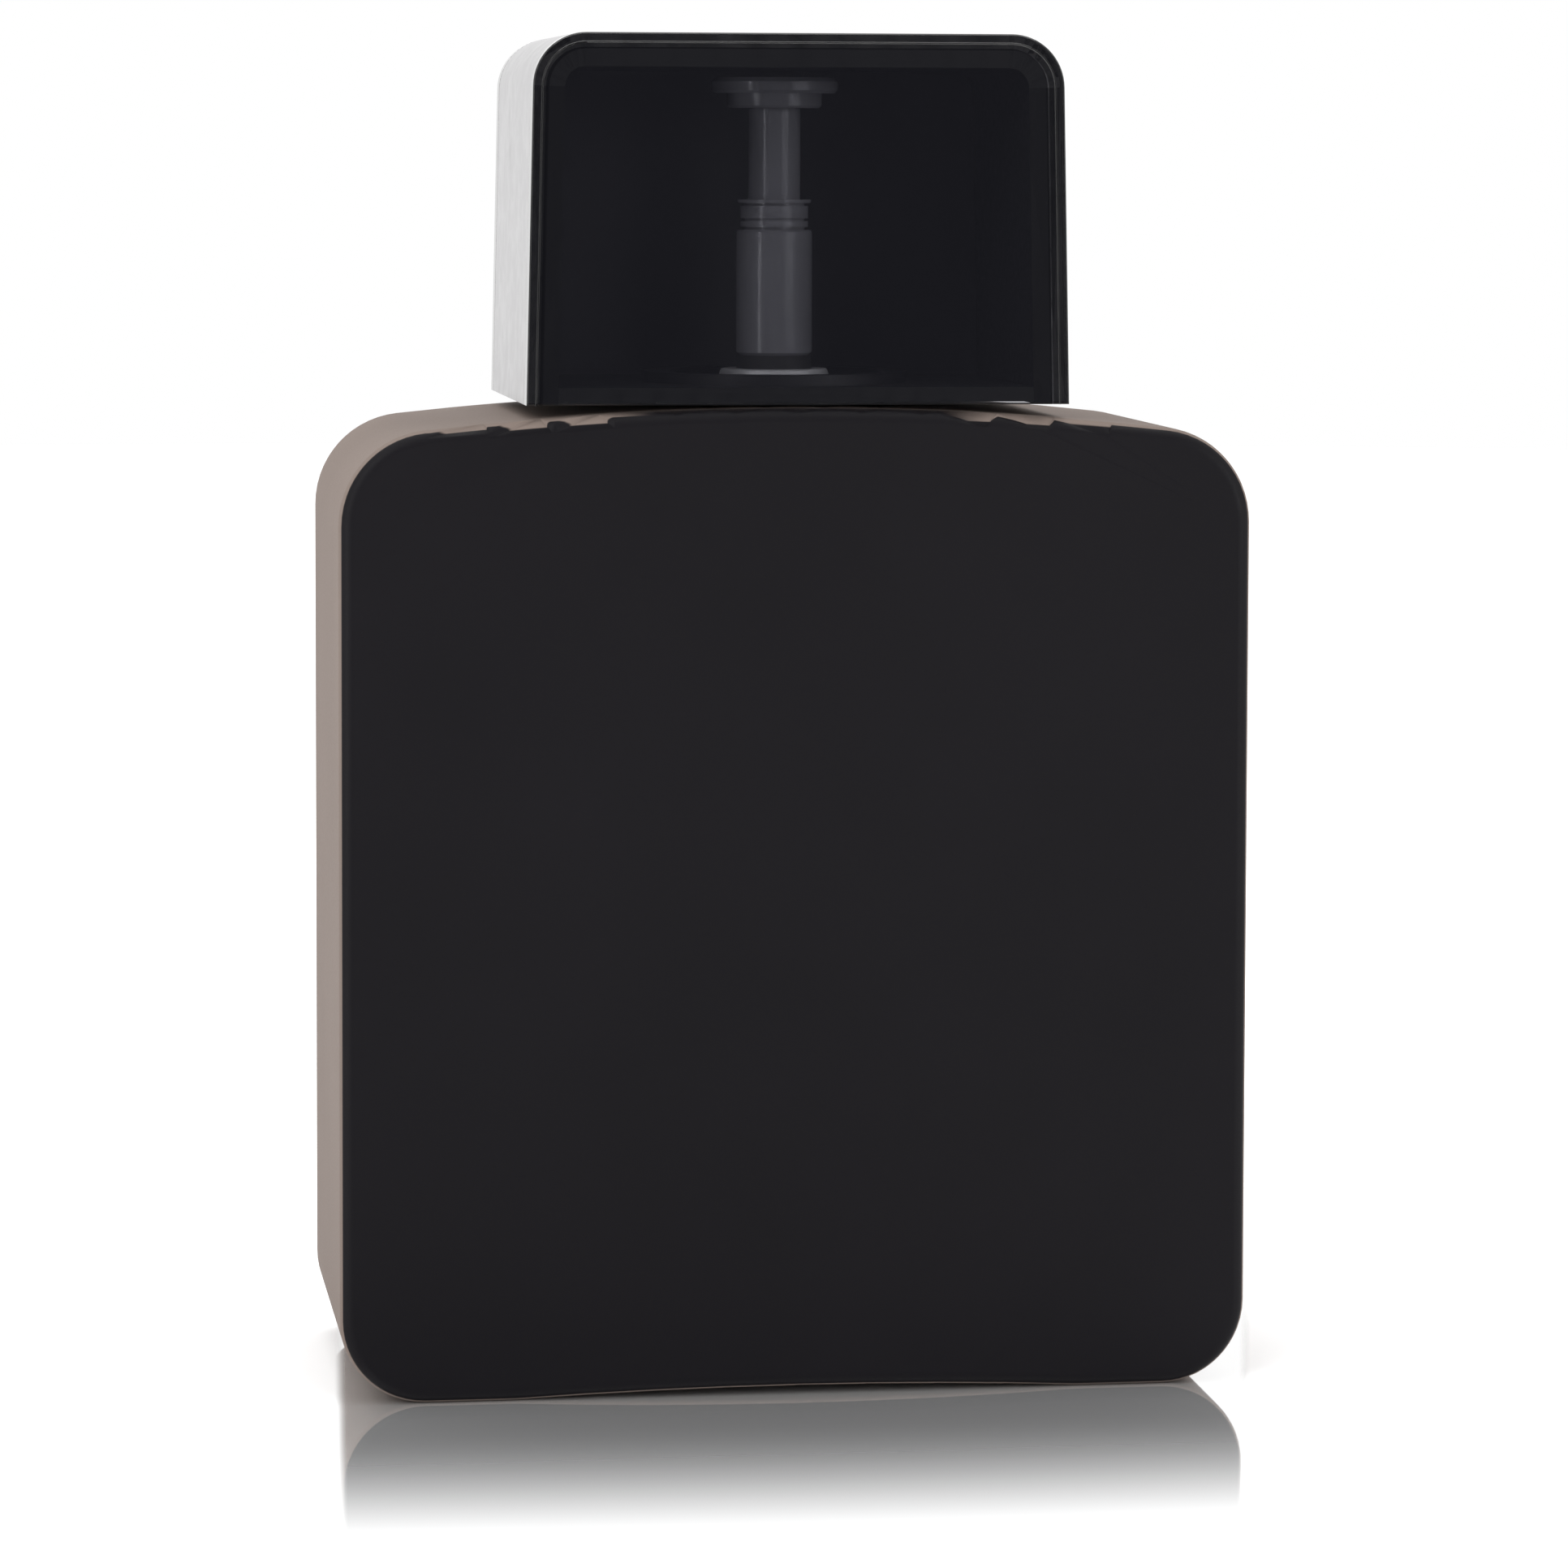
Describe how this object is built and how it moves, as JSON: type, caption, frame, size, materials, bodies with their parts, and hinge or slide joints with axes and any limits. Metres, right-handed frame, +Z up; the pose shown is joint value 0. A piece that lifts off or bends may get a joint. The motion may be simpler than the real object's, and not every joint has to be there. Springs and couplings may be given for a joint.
{
  "type": "aftershave bottle",
  "caption": "Flat rounded-square aftershave flask in black lacquered glass with an arched shoulder, pump spray and lift-off smoked cap with silver sides",
  "frame": {"origin": "centre of the base, on the surface that the bottle stands on", "axes": "+Z up along the pump's axis, -Y out of the front face, +X to the right as seen from the front"},
  "size_m": [0.0778, 0.0344, 0.1151],
  "materials": {
    "lacquered_glass": "thick moulded glass, satin black lacquer on the front and back, satin taupe lacquer round the sides",
    "smoked_acrylic": "polished near-black smoked acrylic",
    "silver_band": "pale silver, finely mottled satin",
    "polished_aluminium": "polished",
    "grey_plastic": "smooth moulded grey plastic",
    "black_plastic": "fine satin moulding",
    "smoke_plastic": "dark smoke-grey moulding",
    "seal_rubber": "soft matt",
    "clear_tube": "milky extruded plastic",
    "steel": "bright stainless"
  },
  "bodies": {
    "bottle": {"glass_bottle": "lacquered_glass", "neck_gasket": "seal_rubber", "crimp_ferrule": "polished_aluminium", "collar": "black_plastic", "pump_housing": "grey_plastic", "barrel_seal": "seal_rubber", "gland_nut": "grey_plastic", "stem_wiper": "seal_rubber", "ball_cage": "grey_plastic", "dip_tube": "clear_tube", "return_spring": "steel"},
    "plunger": {"stem": "grey_plastic", "piston": "grey_plastic"},
    "button": {"spray_button": "grey_plastic", "nozzle_insert": "black_plastic"},
    "inlet_valve": {"inlet_ball": "steel"},
    "outlet_valve": {"outlet_ball": "steel"},
    "cap": {"cap_front_panel": "smoked_acrylic", "cap_back_panel": "smoked_acrylic", "cap_side_band": "silver_band", "cap_frame": "smoke_plastic", "cap_base_plate": "smoke_plastic", "cap_grip_ring": "seal_rubber"}
  },
  "joints": [
    {"name": "cap_lift", "type": "slide", "parent": "bottle", "child": "cap", "axis": [0, 0, 1], "range_m": [0, 0.04]},
    {"name": "button_press", "type": "slide", "parent": "bottle", "child": "plunger", "axis": [0, 0, -1], "range_m": [0, 0.006], "stiffness_N_per_m": 900, "springref_m": -0.004, "deforming": ["return_spring"]},
    {"name": "button_swivel", "type": "hinge", "parent": "plunger", "child": "button", "pos_m": [0, 0, 0.109], "axis": [0, 0, 1], "continuous": true},
    {"name": "inlet_ball_lift", "type": "slide", "parent": "bottle", "child": "inlet_valve", "axis": [0, 0, 1], "range_m": [0, 0.0006]},
    {"name": "outlet_ball_lift", "type": "slide", "parent": "plunger", "child": "outlet_valve", "axis": [0, 0, 1], "range_m": [0, 0.0006]}
  ]
}
